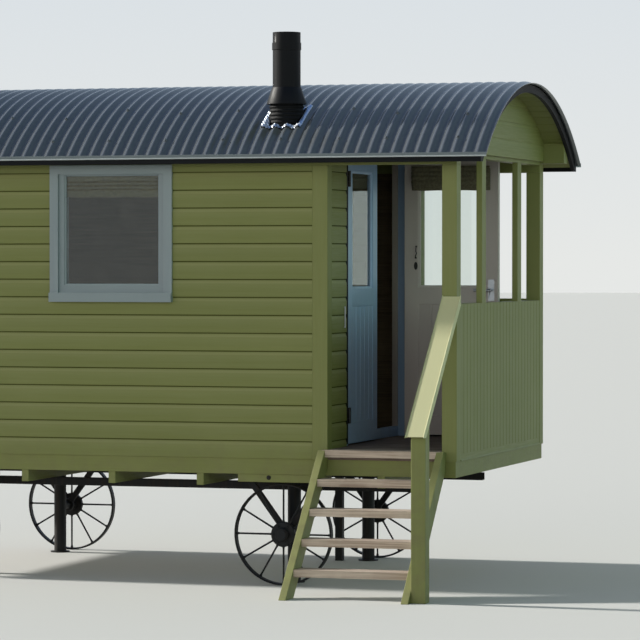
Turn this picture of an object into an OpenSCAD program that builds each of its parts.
// A shepherds hut on wheels: a boarded cabin with an arched corrugated roof, an open porch
// at the +X end with double doors behind it, and a flight of steps on its -Y side.
// X runs along the hut towards the porch, Y across it, Z up. The ground is z = 0.

/* [Body] */
// Length over the end faces of the body
body_l = 4540; // [4200:10:5200]
// Width over the side faces of the body
body_w = 2233; // [2100:1:2400]
// Height of the porch deck above the ground
deck_h = 860; // [820:1:950]
// Height from the deck to the underside of the wall plates
clear_h = 1770; // [1700:1:1900]
// Thickness of the walls, from post face to lining
wall_t = 95; // [90:1:105]
// How far the cladding lies back from the post faces
cladding_setback = 8; // [4:1:12]
// Length of the porch, from the end face to the face of the door wall posts
porch_l = 832; // [800:1:900]
// Side of the square porch posts
post_w = 95; // [85:1:100]
// Width of the posts at the corners of the cabin
corner_post_w = 100; // [90:1:110]

/* [Floor] */
// Height from the bottom of the skirt to the deck
floor_build = 161; // [155:1:170]
// Height of the skirt boards
skirt_h = 99; // [90:1:105]
// Thickness of the skirt boards
skirt_t = 20; // [15:1:22]
// Width of one floor joist
joist_w = 47; // [40:1:60]
// Number of joists between the outer beams
joist_count = 6; // [5:1:7]
// Thickness of the deck and of the step treads
tread_t = 44; // [36:1:48]
// Height of the cabin floor above the deck
cabin_step = 40; // [20:1:50]

/* [Underframe] */
// Height of the timber cross bearers
bearer_h = 75; // [60:1:80]
// Width of the timber cross bearers
bearer_w = 47; // [40:1:60]
// Distance between the cross bearers
bearer_pitch = 594; // [560:1:620]
// How far the bearer ends lie back from the side faces
bearer_inset = 12; // [5:1:30]
// Height of the steel rails under the bearers
rail_h = 50; // [40:1:60]
// Width of the steel rails
rail_w = 60; // [50:1:80]
// Distance of a rail's middle from the side face
rail_inset = 480; // [460:1:520]
// Wall of the steel rails
rail_wall = 4; // [3:0.5:6]

/* [Wheels] */
// Clearance between a wheel and the bolster pad over it
wheel_gap = 9; // [6:1:20]
// Distance of the front axle from the end face
axle_inset = 1145; // [1120:1:1180]
// Distance of the wheel's middle plane from the side face
wheel_inset = 80; // [75:1:90]
// Thickness of the rim
rim_t = 12; // [8:1:16]
// Width of the rim
rim_w = 48; // [40:1:55]
// Radius of the hub flange
hub_r = 79; // [70:1:85]
// Thickness of the hub flange
hub_flange_t = 34; // [28:1:40]
// Radius of the hub barrel
barrel_r = 44; // [40:1:50]
// Length of the hub barrel
barrel_l = 100; // [90:1:105]
// Number of spokes
spoke_count = 12; // [10:1:14]
// Radius of a spoke
spoke_r = 6; // [5:0.5:8]
// Radius of the stub axle inside the hub
stub_r = 20; // [18:1:24]
// Radius of the stub axle behind the hub
shoulder_r = 28; // [26:1:32]
// Radial clearance of the hub on its axle
hub_fit = 0.06; // [0.02:0.01:0.1]
// Radius of the tube leg behind each wheel
leg_r = 42; // [36:1:48]
// Distance of the tube legs from the side face
leg_inset = 300; // [290:1:330]
// Length of the bolster pad over each wheel
pad_l = 562; // [520:1:600]
// Width of the bolster pad
pad_w = 180; // [170:1:190]
// Thickness of the bolster pad
pad_t = 50; // [40:1:52]
// Distance of the pad's outer edge from the side face
pad_inset = 15; // [5:1:25]
// Width of a brace
brace_w = 38; // [30:1:45]
// Thickness of a brace
brace_t = 25; // [15:1:28]
// Distance of the square prop from the front axle, towards the back
square_prop_offset = 185; // [170:1:200]
// Side of the square prop
square_prop_w = 50; // [40:1:60]

/* [Doors] */
// Distance of the cabin hook from the side face
hook_inset = 355; // [300:1:380]
// Height of the cabin hook's lower end above the deck
hook_z = 752; // [700:1:900]
// Length of the cabin hook
hook_l = 145; // [120:1:160]
// Distance between the hinge lines of the two leaves
doorway_w = 1304; // [1200:1:1310]
// Thickness of a leaf
leaf_t = 44; // [40:1:50]
// Gap under the leaves
leaf_bottom_gap = 12; // [8:1:20]
// How far the top edge of the leaves lies above the underside of the wall plates
leaf_rise = 72; // [40:1:80]
// Width of the stiles and the top rail
stile_w = 95; // [80:1:105]
// Height of the bottom rail
bottom_rail_h = 130; // [110:1:150]
// Height of the middle rail's lower edge above the deck
mid_rail_z = 886; // [800:1:950]
// Height of the middle rail
mid_rail_h = 112; // [90:1:130]
// Depth of the panel and glass recess in each face
panel_recess = 12; // [8:1:14]
// Clearance of a leaf to its frame and to the other leaf
leaf_gap = 5; // [5:0.5:8]
// Thickness of the door jambs and the head
jamb_t = 32; // [25:1:40]
// How far the stops reach into the doorway
stop_w = 15; // [12:1:20]
// Height of the threshold above the deck
threshold_h = 67; // [55:1:75]
// Distance of the hinge line in front of the leaf's face
pivot_out = 10; // [10:0.5:12]
// Heights of the hinges above the deck
hinge_z = [193, 1695];
// Height of a hinge
hinge_h = 100; // [80:1:120]
// Width of a hinge plate
hinge_plate_w = 32; // [26:1:32]
// Thickness of a hinge plate
hinge_plate_t = 3; // [2:0.5:3]
// Radius of a hinge knuckle
knuckle_r = 9; // [8.5:0.5:9.5]
// Radius of a hinge pin
pin_r = 4; // [3:0.5:5]
// Height of the lever handle above the deck
handle_z = 980; // [900:1:1050]
// How far the open leaf stands from its closed place, in degrees
open_angle = 90; // [0:1:105]

/* [Glass and blinds] */
// Thickness of the glass
glass_t = 6; // [4:1:8]
// Depth of a window's glass behind the face of the wall
glass_inset = 18; // [12:1:25]
// Gap between a window's glass and its blind
blind_gap = 4; // [2:1:6]
// Thickness of a gathered blind
blind_t = 22; // [16:1:24]
// Height of the gathered blinds on the doors
door_blind_h = 180; // [150:1:220]
// Width of a door blind
door_blind_w = 540; // [440:1:545]
// Height of the gathered blind on a window
window_blind_h = 150; // [120:1:200]

/* [Window] */
// Width over the window's casing
window_w = 827; // [760:1:900]
// Height of the casing's lower edge above the deck
window_z = 914; // [880:1:950]
// Height of the sill piece
sill_h = 58; // [50:1:70]
// Thickness of the sill board inside the opening
sill_board_t = 20; // [15:1:30]
// Width of the casing
casing_w = 56; // [50:1:70]
// How far the casing laps over the wall
casing_lap = 45; // [40:1:50]
// Thickness of the casing
casing_t = 20; // [15:1:25]
// How far the casing's top edge laps over the wall plate
casing_top_lap = 11; // [8:1:20]
// How far the sill stands out from the posts' faces
sill_out = 32; // [25:1:50]
// Width of the sash bars
sash_w = 46; // [40:1:55]

/* [Porch] */
// Height of the top of the half walls above the deck
half_wall_h = 909; // [850:1:950]
// How much higher the half wall at the side is
side_wall_rise = 11; // [0:1:20]
// Thickness of the half walls
half_wall_t = 70; // [60:1:80]
// Width of the mullions
mullion_w = 100; // [80:1:110]
// Depth of the mullions
mullion_t = 38; // [34:1:45]
// Distance of a mullion's middle from the centre line
mullion_y = 458; // [420:1:480]
// How far the end openings reach above the underside of the wall plates
head_rise = 50; // [30:1:55]
// Height of the beam between the end openings and the gable boards
head_beam_h = 23; // [20:1:40]
// How far the gable boards stand out from the end face
gable_out = 20; // [10:1:25]

/* [Roof] */
// Radius of the roof over the crests of the sheets
roof_r = 1877; // [1800:1:2000]
// Height from the underside of the wall plates to the eaves
eave_rise = 65; // [60:1:75]
// Overhang of the roof at each side
side_overhang = 150; // [140:1:160]
// Overhang of the roof at each end
end_overhang = 225.5; // [215:0.5:240]
// Pitch of the corrugations
wave_pitch = 76.2; // [70:0.2:80]
// Depth of the corrugations
wave_depth = 19; // [15:0.5:21]
// Thickness of the sheets
sheet_t = 1.5; // [1:0.1:2]
// Points that draw one wave
wave_steps = 8; // [6:2:10]
// Thickness of the curved roof boarding
boarding_t = 30; // [25:1:32]
// How far the boarding runs past the end faces
boarding_out = 167; // [160:1:180]
// Height of the fascia boards
fascia_h = 55; // [50:1:60]
// Thickness of the fascia boards
fascia_t = 20; // [15:1:25]
// Height of the grey eaves trim
trim_h = 27; // [24:1:30]
// Thickness of the grey eaves trim
trim_t = 3; // [2:0.5:4]
// How far the trim's top edge stands over the eaves
trim_lip = 2; // [1:0.5:4]
// Height of the arched end boards
end_arch_h = 50; // [45:1:60]
// Thickness of the arched end boards
end_arch_t = 25; // [20:1:28]
// How far below the eaves the plates' lower edge lies past the end faces
plate_tail_drop = 5; // [0:1:10]

/* [Flue] */
// Distance of the flue from the end face
flue_inset_x = 1165; // [1150:1:1300]
// Distance of the flue from the side face
flue_inset_y = 205; // [180:1:230]
// Radius of the flue pipe
flue_r = 88; // [80:1:92]
// Wall of the flue pipe
flue_wall = 25; // [20:1:30]
// Height of the pipe's top above the roof's top
flue_top = 285; // [250:1:400]
// Height of the locking band
band_h = 44; // [30:1:50]
// How far the locking band stands out
band_out = 4; // [3:1:6]
// Distance from the pipe's top to the locking band
band_drop = 66; // [50:1:90]
// Height of the storm collar
collar_h = 106; // [95:1:120]
// Radius of the storm collar's rim
collar_r = 114; // [112:1:118]
// Thickness of the storm collar
collar_t = 3; // [2:0.5:4]
// Height of the storm collar's rim above the roof at the pipe's axis
collar_rise = 62; // [60:1:80]
// Side of the flashing apron along the hut
apron_l = 270; // [250:1:300]
// Reach of the flashing apron down and up the roof from the pipe
apron_reach = 130; // [125:1:140]
// Thickness of the flashing apron
apron_t = 2; // [1.5:0.5:3]
// Radius of the flashing boot over its ribs
boot_r = 110; // [108:1:111]
// Depth of the boot's ribs
rib_d = 5; // [3:0.5:6]
// Distance from one rib to the next
rib_pitch = 24; // [20:1:30]
// How far the boot reaches up inside the storm collar
boot_reach = 50; // [40:1:60]

/* [Steps] */
// Number of risers from the ground to the deck
riser_count = 5; // [4:1:5]
// Distance from one tread's front to the next
going = 158.5; // [150:0.5:175]
// How far the top tread stands out from the side face
nosing = 52; // [45:1:60]
// Depth of a tread
tread_d = 160; // [150:1:170]
// Depth of the stringers, measured level
stringer_d = 160; // [150:1:170]
// Thickness of the stringers
stringer_t = 46; // [40:1:50]
// How deep the treads are let into the stringers
housing_d = 22; // [15:1:25]
// Distance of the front stringer's outer face from the end face
stringer_inset = 70; // [65:1:80]
// Side of the newel post
newel_w = 90; // [80:1:100]
// Distance of the newel's front from the side face
newel_out = 780; // [750:1:800]
// Width of the handrail
handrail_w = 115; // [95:1:120]
// Thickness of the handrail
handrail_t = 40; // [30:1:45]
// Height of the handrail's top above the deck, at the post
handrail_z = 959; // [900:1:1000]
// Slope of the handrail in degrees
handrail_slope = 44.7; // [42:0.1:47]
// How far the handrail runs past the newel
handrail_past = 40; // [20:1:60]
// How far the handrail stands out over the newel
handrail_over = 5; // [0:1:15]

/* [Hidden] */
$fn = 64;

// A seat that may stay open between curved faces of one body
seat = 0.3;
// A length that reaches past what it cuts
past = 10;

half_l = body_l / 2;
half_w = body_w / 2;
near_y = -half_w;

skirt_z = deck_h - floor_build;
sole_z = skirt_z + skirt_h;
tread_z = deck_h - tread_t;
plate_z = deck_h + clear_h;
cabin_floor_z = deck_h + cabin_step;
wall_face = half_w - cladding_setback;
wall_inner = half_w - wall_t;
end_face = half_l - cladding_setback;
beam_w = wall_t - cladding_setback - skirt_t;
outer_y = wall_face - skirt_t;
outer_x = end_face - skirt_t;

door_post_face = half_l - porch_l;
door_face = door_post_face - cladding_setback;
door_back = door_post_face - wall_t;
leaf_back = door_face - leaf_t;
stop_front = leaf_back - leaf_gap;
pivot_x = door_face + pivot_out;
pivot_y = doorway_w / 2;
leaf_w = pivot_y - leaf_gap;
leaf_z0 = deck_h + leaf_bottom_gap;
leaf_z1 = plate_z + leaf_rise;
head_under = leaf_z1 + leaf_gap;
head_over = head_under + jamb_t;
jamb_in = pivot_y + leaf_gap / 2;
jamb_out = jamb_in + jamb_t;
glass_z0 = deck_h + mid_rail_z + mid_rail_h;
glass_z1 = leaf_z1 - stile_w;
panel_z0 = leaf_z0 + bottom_rail_h;
panel_z1 = deck_h + mid_rail_z;

eave_z = plate_z + eave_rise;
head_z = plate_z + head_rise;
gable_z = head_z + head_beam_h;
roof_half = half_w + side_overhang;
roof_l = body_l + 2 * end_overhang;
roof_cz = eave_z - sqrt(roof_r * roof_r - roof_half * roof_half);
roof_top = roof_cz + roof_r;
under_sheet_r = roof_r - wave_depth - sheet_t - seat;
under_board_r = under_sheet_r - boarding_t;
inside_roof_r = under_board_r - seat;
fascia_z = eave_z - fascia_h;

axle_x = half_l - axle_inset;
wheel_y = half_w - wheel_inset;
pad_z = skirt_z - pad_t;
wheel_r = (pad_z - wheel_gap) / 2;
shoulder_gap = 0.5;

window_z0 = deck_h + window_z + sill_h;
window_open_w = window_w - 2 * casing_lap;

flue_x = half_l - flue_inset_x;
flue_y = flue_inset_y - half_w;
flue_roof_z = roof_cz + sqrt(roof_r * roof_r - flue_y * flue_y);
collar_z = flue_roof_z + collar_rise;
flue_z1 = roof_top + flue_top;
flue_hole_r = flue_r + 6;

rise = deck_h / riser_count;
stair_x1 = half_l - stringer_inset;
stair_x0 = door_post_face - stringer_t;
handrail_end = near_y - newel_out - handrail_past;
rail_vertical_t = handrail_t / cos(handrail_slope);

// The whole hut is moved so that its bounding box is centred on the origin
y_low = min(handrail_end, near_y - nosing - deck_h * going / rise);
y_high = roof_half + seat + trim_t;
y_origin = -(y_low + y_high) / 2;

function wave_r(x) = roof_r - wave_depth / 2 * (1 + cos(360 * (roof_l / 2 - x) / wave_pitch));
function rail_top(y) = deck_h + handrail_z + (y - near_y) * tan(handrail_slope);
function joist_y(k) = (outer_y - beam_w / 2) * (2 * k / (joist_count + 1) - 1);
function tread_front(k) = near_y - nosing - k * going;
function stringer_front(z) = near_y - nosing - (deck_h - z) * going / rise;

// Puts a piece from the hut's own centre line into the part's frame
module in_frame() translate([0, y_origin, 0]) children();

module both_sides() {
    children();
    mirror([0, 1, 0]) children();
}

module both_ends() {
    children();
    mirror([1, 0, 0]) children();
}

// A box from its lowest to its highest corner
module box(low, high) translate(low) cube(high - low);

// A flat outline in the YZ plane, drawn thick from x0 to x1
module across(x0, x1) translate([x0, 0, 0]) rotate([90, 0, 90]) linear_extrude(x1 - x0) children();

// A flat outline in the XZ plane, drawn thick from y0 to y1
module along(y0, y1) translate([0, y1, 0]) rotate([90, 0, 0]) linear_extrude(y1 - y0) children();

// A profile of (radius, x) points swept over the arch of the roof
module arch_sweep(angle) translate([0, 0, roof_cz])
    rotate([0, 90, 0]) rotate([0, 0, 180 - angle]) rotate_extrude(angle = 2 * angle, $fn = 180) children();

// The full round drum of a radius that the roof is part of
module drum(r, x0, x1) translate([x0, 0, roof_cz]) rotate([0, 90, 0]) cylinder(r = r, h = x1 - x0, $fn = 180);

// Whatever is put up to the underside of the boarding
module under_roof() intersection() {
    children();
    drum(inside_roof_r, -roof_l, roof_l);
}

// Underframe

module chassis_rails() color("#202124") in_frame() both_sides()
    translate([0, half_w - rail_inset, skirt_z - bearer_h - rail_h / 2])
        difference() {
            cube([body_l - 2 * skirt_t - 4 * bearer_w, rail_w, rail_h], center = true);
            cube([body_l, rail_w - 2 * rail_wall, rail_h - 2 * rail_wall], center = true);
        }

module cross_bearers() color("#7c8048") in_frame()
    for (k = [-3 : 3])
        if (abs(k) != 2)
            translate([k * bearer_pitch - bearer_w / 2, -half_w + bearer_inset, skirt_z - bearer_h])
                cube([bearer_w, body_w - 2 * bearer_inset, bearer_h]);

module bolsters() color("#6d7040") in_frame() both_ends() {
    both_sides() translate([axle_x - pad_l / 2, half_w - pad_inset - pad_w, pad_z])
        cube([pad_l, pad_w, pad_t]);
    translate([axle_x - leg_r - past, -half_w + pad_inset, pad_z])
        cube([2 * (leg_r + past), body_w - 2 * pad_inset, pad_t]);
}

module axle_leg() {
    foot_t = 8;
    foot_r = leg_r + 25;
    washer_out = 14;
    cylinder(r = leg_r, h = pad_z);
    cylinder(r = foot_r, h = foot_t);
    translate([0, 0, wheel_r]) rotate([-90, 0, 0]) {
        reach = leg_inset - wheel_inset;
        cylinder(r = shoulder_r, h = reach - barrel_l / 2 - shoulder_gap);
        cylinder(r = stub_r, h = reach + barrel_l / 2 + shoulder_gap + past);
        translate([0, 0, reach + barrel_l / 2 + shoulder_gap]) cylinder(r = stub_r + washer_out, h = past);
    }
}

module axle_legs() color("#1c1d20") in_frame() {
    both_ends() both_sides() translate([axle_x, half_w - leg_inset, 0]) axle_leg();
    translate([axle_x - square_prop_offset - square_prop_w / 2, joist_y(joist_count) - square_prop_w / 2, 0])
        cube([square_prop_w, square_prop_w, skirt_z]);
}

module wheel_brace() {
    drop = pad_z - wheel_r;
    spread = (pad_l - 2 * brace_w) / 2;
    level_w = brace_w / 2 * sqrt(spread * spread + drop * drop) / drop;
    boss_r = shoulder_r + 16;
    y1 = half_w - wheel_inset - barrel_l / 2 - past;
    translate([axle_x, 0, wheel_r]) along(y1 - brace_t, y1)
        difference() {
            union() {
                both_ends() polygon([
                    [-level_w, 0], [level_w, 0], [spread + level_w, drop], [spread - level_w, drop]
                ]);
                circle(r = boss_r);
            }
            circle(r = shoulder_r + hub_fit);
        }
}

module wheel_braces() color("#1c1d20") in_frame() both_ends() both_sides() wheel_brace();

module wheel(front, side) in_frame() translate([front * axle_x, side * wheel_y, wheel_r])
    rotate([90, 0, 0]) difference() {
        union() {
            rotate_extrude($fn = 96) {
                translate([wheel_r - rim_t, -rim_w / 2]) square([rim_t, rim_w]);
                translate([0, -hub_flange_t / 2]) square([hub_r, hub_flange_t]);
                translate([0, -barrel_l / 2]) square([barrel_r, barrel_l]);
            }
            for (k = [0 : spoke_count - 1])
                rotate([0, 0, k * 360 / spoke_count + 90]) translate([barrel_r, 0, 0]) rotate([0, 90, 0])
                    cylinder(r = spoke_r, h = wheel_r - rim_t / 2 - barrel_r, $fn = 24);
        }
        translate([0, 0, -barrel_l]) cylinder(r = stub_r + hub_fit, h = 2 * barrel_l);
    }

module wheel_front_near() color("#18191b") wheel(1, -1);
module wheel_front_far() color("#18191b") wheel(1, 1);
module wheel_rear_near() color("#18191b") wheel(-1, -1);
module wheel_rear_far() color("#18191b") wheel(-1, 1);

// Floor

module floor_frame() color("#8a7a55") in_frame() {
    both_sides() box([-outer_x, outer_y - beam_w, skirt_z], [outer_x, outer_y, sole_z]);
    both_ends() box([outer_x - joist_w, -outer_y, skirt_z], [outer_x, outer_y, sole_z]);
}

module floor_joists() color("#8a7a55") in_frame() for (k = [1 : joist_count])
    translate([joist_w - outer_x, joist_y(k) - joist_w / 2, skirt_z])
        cube([2 * (outer_x - joist_w), joist_w, skirt_h]);

module cabin_floor() color("#8a6f55") in_frame()
    box([-half_l + wall_t, -wall_inner, sole_z], [door_back, wall_inner, cabin_floor_z]);

// Deck boards on battens, up to the posts and the half walls
module porch_deck() color("#9c8478") in_frame() {
    batten_w = 60;
    deck_x1 = end_face - half_wall_t;
    box([door_back, -wall_inner, tread_z], [deck_x1, wall_inner, deck_h]);
    box([door_post_face, wall_inner, tread_z], [half_l - post_w, wall_face - half_wall_t, deck_h]);
    for (x = [door_back, (door_back + deck_x1 - batten_w) / 2, deck_x1 - batten_w])
        box([x, -wall_inner, sole_z], [x + batten_w, wall_inner, tread_z]);
    box([door_post_face, -wall_face, sole_z], [half_l - post_w, -wall_inner + batten_w, tread_z]);
}

module skirts() color("#84883f") in_frame() {
    both_sides() box([-end_face, wall_face - skirt_t, skirt_z], [end_face, wall_face, sole_z]);
    both_ends() box([end_face - skirt_t, -outer_y, skirt_z], [end_face, outer_y, sole_z]);
}

// Cabin walls

module post_at(x0, x1) box([x0, half_w - wall_t, sole_z], [x1, half_w, plate_z]);

module posts() color("#84883f") in_frame() both_sides() {
    post_at(half_l - post_w, half_l);
    post_at(door_post_face - corner_post_w, door_post_face);
    post_at(-half_l, -half_l + corner_post_w);
}

// One panel of a side wall between two places along the hut
module side_wall(x0, x1, z1) box([x0, wall_inner, sole_z], [x1, wall_face, z1]);

module wall_front() side_wall(window_open_w / 2, door_post_face - corner_post_w, plate_z);
module wall_back() side_wall(-half_l + corner_post_w, -window_open_w / 2, plate_z);
module wall_below_window() side_wall(-window_open_w / 2, window_open_w / 2, window_z0 - sill_board_t);

module near_wall_front() color("#84883f") in_frame() mirror([0, 1, 0]) wall_front();
module near_wall_back() color("#84883f") in_frame() mirror([0, 1, 0]) wall_back();
module near_wall_below_window() color("#84883f") in_frame() mirror([0, 1, 0]) wall_below_window();
module far_wall_front() color("#84883f") in_frame() wall_front();
module far_wall_back() color("#84883f") in_frame() wall_back();
module far_wall_below_window() color("#84883f") in_frame() wall_below_window();

module back_wall() color("#84883f") in_frame() under_roof()
    box([-end_face, -wall_inner, sole_z], [-half_l + wall_t, wall_inner, roof_top]);

module wall_plates() color("#7c8048") in_frame() both_sides() under_roof() {
    box([-half_l, wall_inner, plate_z], [half_l, half_w, roof_top]);
    box([-half_l - boarding_out, wall_inner, eave_z - plate_tail_drop],
        [half_l + boarding_out, half_w, roof_top]);
}

// Door wall

module door_wall_side() box([door_back, jamb_out, deck_h], [door_face, wall_inner, head_over]);
module door_wall_near() color("#84883f") in_frame() mirror([0, 1, 0]) door_wall_side();
module door_wall_far() color("#84883f") in_frame() door_wall_side();

module door_wall_gable() color("#84883f") in_frame() under_roof()
    box([door_back, -wall_inner, head_over], [door_face, wall_inner, roof_top]);

module door_frame() color("#9a9a9c") in_frame() {
    both_sides() {
        box([door_back, jamb_in, deck_h], [door_face, jamb_out, head_over]);
        box([door_back, jamb_in - stop_w, deck_h + threshold_h], [stop_front, jamb_in, head_under]);
    }
    box([door_back, -jamb_in, head_under], [door_face, jamb_in, head_over]);
    box([door_back, -jamb_in, head_under - stop_w], [stop_front, jamb_in, head_under]);
}

module threshold() color("#8d96a0") in_frame()
    box([door_back, -jamb_in, deck_h], [stop_front, jamb_in, deck_h + threshold_h]);

// The three knuckles of a hinge share its height, less a small gap between each two
knuckle_h = (hinge_h - 1) / 3;
// Where a hinge plate's full height begins, clear of the knuckles
plate_y = knuckle_r + 3;

// A plate for the frame: its knuckles are the lowest and the highest, with the pin between
module frame_hinge() {
    for (z = [0, hinge_h - knuckle_h]) {
        translate([0, 0, z]) cylinder(r = knuckle_r, h = knuckle_h);
        box([-pivot_out, 0, z], [-pivot_out + hinge_plate_t, hinge_plate_w, z + knuckle_h]);
    }
    cylinder(r = pin_r, h = hinge_h);
    box([-pivot_out, plate_y, 0], [-pivot_out + hinge_plate_t, hinge_plate_w, hinge_h]);
}

// A plate for the leaf: its knuckle is the middle one
module leaf_hinge() difference() {
    z0 = (hinge_h - knuckle_h) / 2;
    union() {
        translate([0, 0, z0]) cylinder(r = knuckle_r, h = knuckle_h);
        box([-pivot_out, -hinge_plate_w, z0], [-pivot_out + hinge_plate_t, 0, z0 + knuckle_h]);
        box([-pivot_out, -hinge_plate_w, 0], [-pivot_out + hinge_plate_t, -plate_y, hinge_h]);
    }
    translate([0, 0, -past]) cylinder(r = pin_r + hub_fit, h = hinge_h + 2 * past);
}

module frame_hinges() color("#2a2a2c") in_frame() both_sides()
    for (z = hinge_z) translate([pivot_x, pivot_y, deck_h + z - hinge_h / 2]) frame_hinge();

// A hook that hangs from an eye on a small plate, with its end bent back to the boards
module cabin_hook() color("#b9bcc0") in_frame() {
    hook_r = 4;
    plate_w = 30;
    plate_t = 3;
    reach = 14;
    eye_z = hook_l - plate_w / 2;
    translate([door_face, near_y + hook_inset, deck_h + hook_z]) {
        box([0, -plate_w / 2, hook_l - plate_w], [plate_t, plate_w / 2, hook_l]);
        translate([0, 0, eye_z]) rotate([0, 90, 0]) cylinder(r = hook_r, h = reach);
        translate([reach, 0, 0]) cylinder(r = hook_r, h = eye_z + hook_r);
        translate([reach, 0, hook_r]) rotate([0, -90, 0]) cylinder(r = hook_r, h = reach - hook_r);
    }
}

// Door leaves, drawn closed with the hinge line as the origin and the leaf towards -Y

leaf_x1 = -pivot_out;
leaf_x0 = leaf_x1 - leaf_t;
leaf_hinge_edge = -leaf_gap / 2;
leaf_free_edge = leaf_hinge_edge - leaf_w;
glass_y1 = leaf_hinge_edge - stile_w;
glass_y0 = leaf_free_edge + stile_w;

module leaf() difference() {
    box([leaf_x0, leaf_free_edge, leaf_z0], [leaf_x1, leaf_hinge_edge, leaf_z1]);
    box([leaf_x0 - past, glass_y0, glass_z0], [leaf_x1 + past, glass_y1, glass_z1]);
    box([leaf_x1 - panel_recess, glass_y0, panel_z0], [leaf_x1 + past, glass_y1, panel_z1]);
    box([leaf_x0 - past, glass_y0, panel_z0], [leaf_x0 + panel_recess, glass_y1, panel_z1]);
}

module leaf_glass() {
    mid = (leaf_x0 + leaf_x1) / 2;
    box([mid - glass_t / 2, glass_y0, glass_z0], [mid + glass_t / 2, glass_y1, glass_z1]);
}

module leaf_blind() {
    mid = (leaf_hinge_edge + leaf_free_edge) / 2;
    z1 = leaf_z1 - stile_w / 4;
    box([leaf_x0 - blind_t, mid - door_blind_w / 2, z1 - door_blind_h],
        [leaf_x0, mid + door_blind_w / 2, z1]);
}

module leaf_hinges() for (z = hinge_z) translate([0, 0, deck_h + z - hinge_h / 2]) leaf_hinge();

module lever_handle() {
    plate_h = 142;
    plate_w = 42;
    plate_t = 4;
    neck_l = 46;
    lever_l = 118;
    lever_r = 9;
    translate([0, leaf_free_edge + stile_w / 2, deck_h + handle_z]) {
        box([0, -plate_w / 2, -plate_h / 2], [plate_t, plate_w / 2, plate_h / 2]);
        rotate([0, 90, 0]) cylinder(r = lever_r, h = neck_l);
        translate([neck_l, -lever_r, 0]) rotate([-90, 0, 0]) cylinder(r = lever_r, h = lever_l);
    }
}

module leaf_handles() {
    translate([leaf_x1, 0, 0]) lever_handle();
    translate([leaf_x0, 0, 0]) mirror([1, 0, 0]) lever_handle();
}

module left_place() in_frame() translate([pivot_x, -pivot_y, 0]) mirror([0, 1, 0]) children();
module right_place() in_frame() translate([pivot_x, pivot_y, 0]) rotate([0, 0, open_angle]) children();

module left_leaf() color("#7c8791") left_place() leaf();
module left_glass() color([0.6, 0.7, 0.75, 0.4]) left_place() leaf_glass();
module left_blind() color("#8e8f92") left_place() leaf_blind();
module left_hinges() color("#2a2a2c") left_place() leaf_hinges();
module right_leaf() color("#9c98a8") right_place() leaf();
module right_glass() color([0.6, 0.7, 0.75, 0.4]) right_place() leaf_glass();
module right_blind() color("#8e8f92") right_place() leaf_blind();
module right_furniture() color("#b9bcc0") right_place() {
    leaf_hinges();
    leaf_handles();
}

// Windows

// The casing outside, the sash in the opening and the sill, for the far side
module window_frame() {
    z0 = deck_h + window_z;
    z1 = plate_z + casing_top_lap;
    y_out = wall_face + casing_t;
    difference() {
        box([-window_w / 2, wall_face, z0], [window_w / 2, y_out, z1]);
        box([-window_w / 2 + casing_w, wall_face - past, z0 + sill_h],
            [window_w / 2 - casing_w, y_out + past, z1 - casing_w]);
        box([-window_w, wall_face - past, plate_z], [window_w, half_w, z1 + past]);
    }
    difference() {
        box([-window_open_w / 2, wall_inner, window_z0], [window_open_w / 2, wall_face, plate_z]);
        box([-window_open_w / 2 + sash_w, wall_inner - past, window_z0 + sash_w],
            [window_open_w / 2 - sash_w, half_w + past, plate_z - sash_w]);
    }
    box([-window_w / 2, wall_face, z0], [window_w / 2, half_w + sill_out, z0 + sill_h]);
    box([-window_open_w / 2, wall_inner, window_z0 - sill_board_t],
        [window_open_w / 2, wall_face, window_z0]);
}

module window_frames() color("#c9cacb") in_frame() both_sides() window_frame();

module window_panes() color([0.6, 0.7, 0.75, 0.4]) in_frame() both_sides() {
    y1 = wall_face - glass_inset;
    box([-window_open_w / 2 + sash_w, y1 - glass_t, window_z0 + sash_w],
        [window_open_w / 2 - sash_w, y1, plate_z - sash_w]);
}

module window_blinds() color("#b8a88c") in_frame() both_sides() {
    y1 = wall_face - glass_inset - glass_t - blind_gap;
    box([-window_open_w / 2 + sash_w, y1 - blind_t, plate_z - sash_w - window_blind_h],
        [window_open_w / 2 - sash_w, y1, plate_z - sash_w]);
}

// Porch

module porch_mullions() color("#84883f") in_frame() both_sides()
    box([half_l - mullion_t, mullion_y - mullion_w / 2, deck_h + half_wall_h],
        [half_l, mullion_y + mullion_w / 2, head_z]);

module porch_end_wall() color("#7f9079") in_frame()
    box([end_face - half_wall_t, -wall_inner, sole_z], [end_face, wall_inner, deck_h + half_wall_h]);

module porch_side_wall() color("#84883f") in_frame()
    box([door_post_face, wall_face - half_wall_t, sole_z],
        [half_l - post_w, wall_face, deck_h + half_wall_h + side_wall_rise]);

module porch_head_beam() color("#84883f") in_frame()
    box([half_l - wall_t, -wall_inner, head_z], [half_l, wall_inner, gable_z]);

module porch_gable() color("#7f9079") in_frame() under_roof()
    box([half_l + gable_out - wall_t, -wall_inner, gable_z], [half_l + gable_out, wall_inner, roof_top]);

// Roof

module roof_boarding() color("#84883f") in_frame() difference() {
    intersection() {
        difference() {
            drum(under_sheet_r, -half_l - boarding_out, half_l + boarding_out);
            drum(under_board_r, -roof_l, roof_l);
        }
        box([-roof_l, -roof_half + fascia_t, plate_z], [roof_l, roof_half - fascia_t, roof_top]);
    }
    translate([flue_x, flue_y, plate_z]) cylinder(r = flue_hole_r, h = roof_r);
}

// The points along the waves, which every piece that lies on them shares
wave_count = round(roof_l / wave_pitch * wave_steps);
wave_dx = roof_l / wave_count;
function wave_index(x) = round((x + roof_l / 2) / wave_dx);
function wave_point(k, above) = let (x = k * wave_dx - roof_l / 2) [wave_r(x) + above, x];

// Outline of a wavy strip between two of these points, lying from one height over the waves to another
function wavy(first, last, low, high) = concat(
    [for (k = [first : last]) wave_point(k, low)],
    [for (k = [last : -1 : first]) wave_point(k, high)]);

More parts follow.
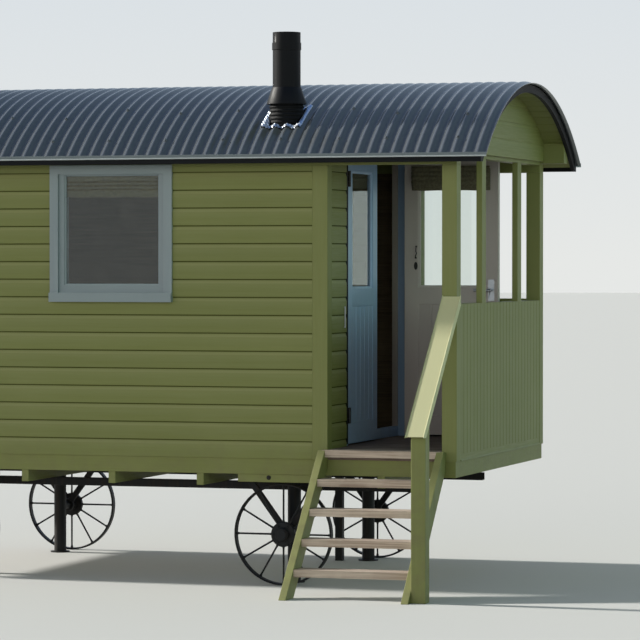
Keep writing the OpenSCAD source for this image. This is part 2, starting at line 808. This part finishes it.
module roof_sheets() color("#2b3440") in_frame() difference() {
    arch_sweep(asin(roof_half / roof_r)) polygon(wavy(0, wave_count, -sheet_t, 0));
    translate([flue_x, flue_y, plate_z]) cylinder(r = flue_hole_r, h = roof_r);
}

module eaves_fascias() color("#1b1c1e") in_frame() both_sides() intersection() {
    box([-half_l - boarding_out, roof_half - fascia_t, fascia_z],
        [half_l + boarding_out, roof_half, roof_top]);
    drum(under_sheet_r, -roof_l, roof_l);
}

module eaves_trims() color("#a9adb1") in_frame() both_sides()
    translate([-roof_l / 2, roof_half + seat, eave_z + trim_lip - trim_h]) cube([roof_l, trim_t, trim_h]);

module roof_end_arches() color("#1b1c1e") in_frame() both_ends() intersection() {
    difference() {
        drum(under_sheet_r, half_l + boarding_out, half_l + boarding_out + end_arch_t);
        drum(under_sheet_r - end_arch_h, 0, roof_l);
    }
    box([0, -roof_half, fascia_z], [roof_l, roof_half, roof_top]);
}

// Flue

module flue_pipe() color("#1d1e20") in_frame() translate([flue_x, flue_y, 0]) difference() {
    z0 = roof_cz + sqrt(under_board_r * under_board_r - pow(flue_y - flue_r, 2)) - 3 * past;
    union() {
        translate([0, 0, z0]) cylinder(r = flue_r, h = flue_z1 - z0);
        translate([0, 0, flue_z1 - band_drop - band_h]) cylinder(r = flue_r + band_out, h = band_h);
    }
    translate([0, 0, z0 - past]) cylinder(r = flue_r - flue_wall, h = roof_r);
}

module storm_collar() color("#1d1e20") in_frame() translate([flue_x, flue_y, collar_z]) rotate_extrude()
    polygon([[flue_r, collar_h], [flue_r, collar_h - 3 * collar_t], [collar_r - collar_t, 0], [collar_r, 0],
             [flue_r + collar_t, collar_h]]);

// What lies under the middle of the apron's thickness, where it follows the waves
module under_apron() arch_sweep(asin(roof_half / roof_r)) polygon(wavy(
    wave_index(flue_x - apron_l / 2), wave_index(flue_x + apron_l / 2),
    -2 * apron_reach, seat + apron_t / 2));

// The ribbed boot round the pipe, which grows out of the apron
module flue_boot() difference() {
    foot_z = flue_roof_z - apron_reach;
    rib_count = floor((collar_z - foot_z) / rib_pitch);
    ribs = [for (k = [rib_count : -1 : 1]) each
        [[boot_r - rib_d, collar_z - k * rib_pitch], [boot_r, collar_z - (k - 0.5) * rib_pitch]]];
    translate([flue_x, flue_y, 0]) rotate_extrude()
        polygon(concat([[flue_hole_r, collar_z - rib_count * rib_pitch]], ribs,
            [[boot_r - rib_d, collar_z], [flue_r + rib_d, collar_z + boot_reach],
             [flue_r, collar_z + boot_reach], [flue_r, collar_z], [flue_hole_r, flue_roof_z]]));
    under_apron();
}

// The soft apron, moulded over the waves of the sheets
module flue_apron() difference() {
    intersection() {
        arch_sweep(asin(roof_half / roof_r)) polygon(wavy(
            wave_index(flue_x - apron_l / 2), wave_index(flue_x + apron_l / 2), seat, seat + apron_t));
        box([0, flue_y - apron_reach, plate_z], [half_l, flue_y + apron_reach, roof_top + past]);
    }
    translate([flue_x, flue_y, plate_z]) cylinder(r = flue_hole_r, h = roof_r);
}

module flue_flashing() color("#8f959b") in_frame() {
    flue_boot();
    flue_apron();
}

// Steps

module tread(k) {
    y0 = tread_front(k);
    z1 = deck_h - k * rise;
    x0 = stair_x0 + stringer_t - housing_d;
    x1 = stair_x1 - stringer_t + housing_d;
    if (k > 0) box([x0, y0, z1 - tread_t], [x1, y0 + tread_d, z1]);
    else {
        box([x0, y0, z1 - tread_t], [x1, near_y, z1]);
        box([door_post_face, near_y - past, z1 - tread_t], [half_l - post_w, -wall_inner, z1]);
    }
}

module stringer(x0) difference() {
    back_top = deck_h - (stringer_d - nosing) * rise / going;
    across(x0, x0 + stringer_t)
        polygon([[stringer_front(deck_h), deck_h], [near_y, deck_h], [near_y, back_top],
                 [stringer_front(0) + stringer_d, 0], [stringer_front(0), 0]]);
    for (k = [0 : riser_count - 1]) tread(k);
}

module stair_stringers() color("#8a8f55") in_frame() {
    stringer(stair_x0);
    stringer(stair_x1 - stringer_t);
}

module stair_treads() color("#a08c84") in_frame() for (k = [0 : riser_count - 1]) tread(k);

module newel_post() color("#7c8050") in_frame() across(stair_x1, stair_x1 + newel_w) {
    y0 = near_y - newel_out;
    polygon([[y0, 0], [y0 + newel_w, 0], [y0 + newel_w, rail_top(y0 + newel_w) - rail_vertical_t],
             [y0, rail_top(y0) - rail_vertical_t]]);
}

module handrail() color("#a9ad80") in_frame()
    across(stair_x1 + newel_w + handrail_over - handrail_w, stair_x1 + newel_w + handrail_over)
        polygon([[near_y, rail_top(near_y)], [handrail_end, rail_top(handrail_end)],
                 [handrail_end, rail_top(handrail_end) - rail_vertical_t],
                 [near_y, rail_top(near_y) - rail_vertical_t]]);

chassis_rails();
cross_bearers();
bolsters();
axle_legs();
wheel_braces();
wheel_front_near();
wheel_front_far();
wheel_rear_near();
wheel_rear_far();
floor_frame();
floor_joists();
cabin_floor();
porch_deck();
skirts();
posts();
near_wall_front();
near_wall_back();
near_wall_below_window();
far_wall_front();
far_wall_back();
far_wall_below_window();
back_wall();
wall_plates();
door_wall_near();
door_wall_far();
door_wall_gable();
door_frame();
threshold();
frame_hinges();
cabin_hook();
porch_mullions();
porch_end_wall();
porch_side_wall();
porch_head_beam();
porch_gable();
roof_boarding();
roof_sheets();
eaves_fascias();
eaves_trims();
roof_end_arches();
flue_pipe();
storm_collar();
flue_flashing();
window_frames();
window_panes();
window_blinds();
left_leaf();
left_glass();
left_blind();
left_hinges();
right_leaf();
right_glass();
right_blind();
right_furniture();
stair_stringers();
stair_treads();
newel_post();
handrail();
